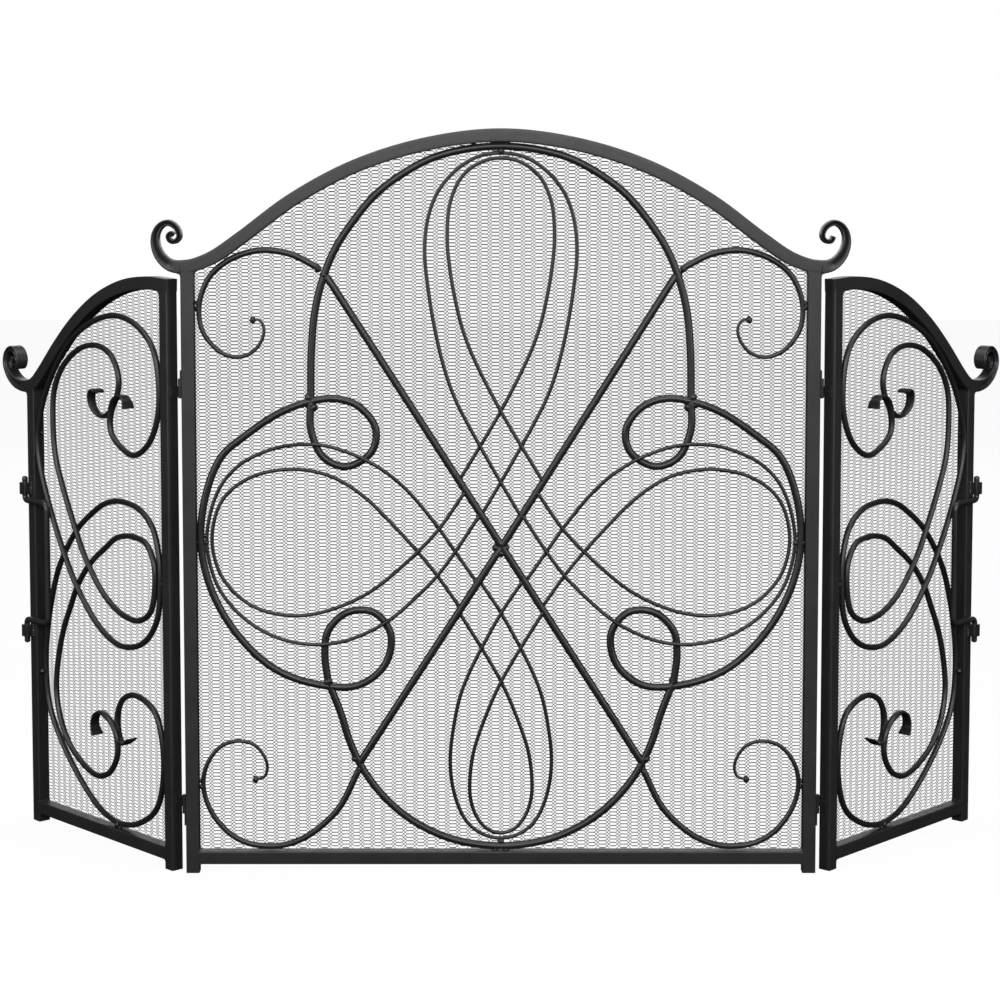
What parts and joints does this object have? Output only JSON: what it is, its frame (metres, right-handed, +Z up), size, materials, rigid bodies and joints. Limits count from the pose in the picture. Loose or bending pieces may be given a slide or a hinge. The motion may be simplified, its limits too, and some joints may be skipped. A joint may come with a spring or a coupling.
{
  "type": "fireplace screen",
  "caption": "Arched fireplace screen: wire mesh in square-tube frames, forged scrollwork, folding side panels and swinging lift handles.",
  "frame": {"origin": "middle of the footprint, on the floor", "axes": "+X to the right along the centre panel, +Y back towards the fire, +Z up"},
  "size_m": [1.212, 0.2704, 0.8382],
  "materials": {
    "frame": "satin black powder coat",
    "scrollwork": "satin black powder coat",
    "mesh": "black-coated wire",
    "hinge": "black-coated steel",
    "handle": "satin black powder coat"
  },
  "bodies": {
    "centre_panel": {"centre_left_stile": "frame", "centre_right_stile": "frame", "centre_bottom_rail": "frame", "centre_arch_rail": "frame", "centre_left_volute": "scrollwork", "centre_right_volute": "scrollwork", "centre_mesh": "mesh", "cross_bar_long": "scrollwork", "cross_bar_upper": "scrollwork", "cross_bar_lower": "scrollwork", "top_lobe": "scrollwork", "bottom_lobe": "scrollwork", "left_lobe": "scrollwork", "right_lobe": "scrollwork", "scroll_upper_left": "scrollwork", "scroll_upper_right": "scrollwork", "scroll_lower_left": "scrollwork", "scroll_lower_right": "scrollwork", "petal_top_inner": "scrollwork", "petal_top_outer": "scrollwork", "petal_bottom_inner": "scrollwork", "petal_bottom_outer": "scrollwork", "petal_left_inner": "scrollwork", "petal_left_outer": "scrollwork", "petal_right_inner": "scrollwork", "petal_right_outer": "scrollwork", "left_upper_hinge_centre_leaf": "hinge", "left_upper_hinge_pin": "hinge", "left_lower_hinge_centre_leaf": "hinge", "left_lower_hinge_pin": "hinge", "right_upper_hinge_centre_leaf": "hinge", "right_upper_hinge_pin": "hinge", "right_lower_hinge_centre_leaf": "hinge", "right_lower_hinge_pin": "hinge"},
    "left_panel": {"left_upper_hinge_side_leaf": "hinge", "left_lower_hinge_side_leaf": "hinge", "left_inner_stile": "frame", "left_outer_stile": "frame", "left_bottom_rail": "frame", "left_arch_rail": "frame", "left_volute": "scrollwork", "left_mesh": "mesh", "left_outer_scroll": "scrollwork", "left_inner_scroll": "scrollwork", "left_upper_socket": "handle", "left_lower_socket": "handle"},
    "right_panel": {"right_upper_hinge_side_leaf": "hinge", "right_lower_hinge_side_leaf": "hinge", "right_inner_stile": "frame", "right_outer_stile": "frame", "right_bottom_rail": "frame", "right_arch_rail": "frame", "right_volute": "scrollwork", "right_mesh": "mesh", "right_outer_scroll": "scrollwork", "right_inner_scroll": "scrollwork", "right_upper_socket": "handle", "right_lower_socket": "handle"},
    "left_handle": {"left_handle_bail": "handle"},
    "right_handle": {"right_handle_bail": "handle"}
  },
  "joints": [
    {"name": "left_panel_hinge", "type": "hinge", "parent": "centre_panel", "child": "left_panel", "pos_m": [-0.3585, -0.11768, 0.3], "axis": [0, 0, -1], "range_deg": [-47, 133]},
    {"name": "right_panel_hinge", "type": "hinge", "parent": "centre_panel", "child": "right_panel", "pos_m": [0.3585, -0.11768, 0.3], "axis": [0, 0, 1], "range_deg": [-47, 133]},
    {"name": "left_handle_swing", "type": "hinge", "parent": "left_panel", "child": "left_handle", "pos_m": [-0.57378, 0.08356, 0.3215], "axis": [0, 0, -1], "range_deg": [0, 180]},
    {"name": "right_handle_swing", "type": "hinge", "parent": "right_panel", "child": "right_handle", "pos_m": [0.57378, 0.08356, 0.3215], "axis": [0, 0, 1], "range_deg": [0, 180]}
  ]
}
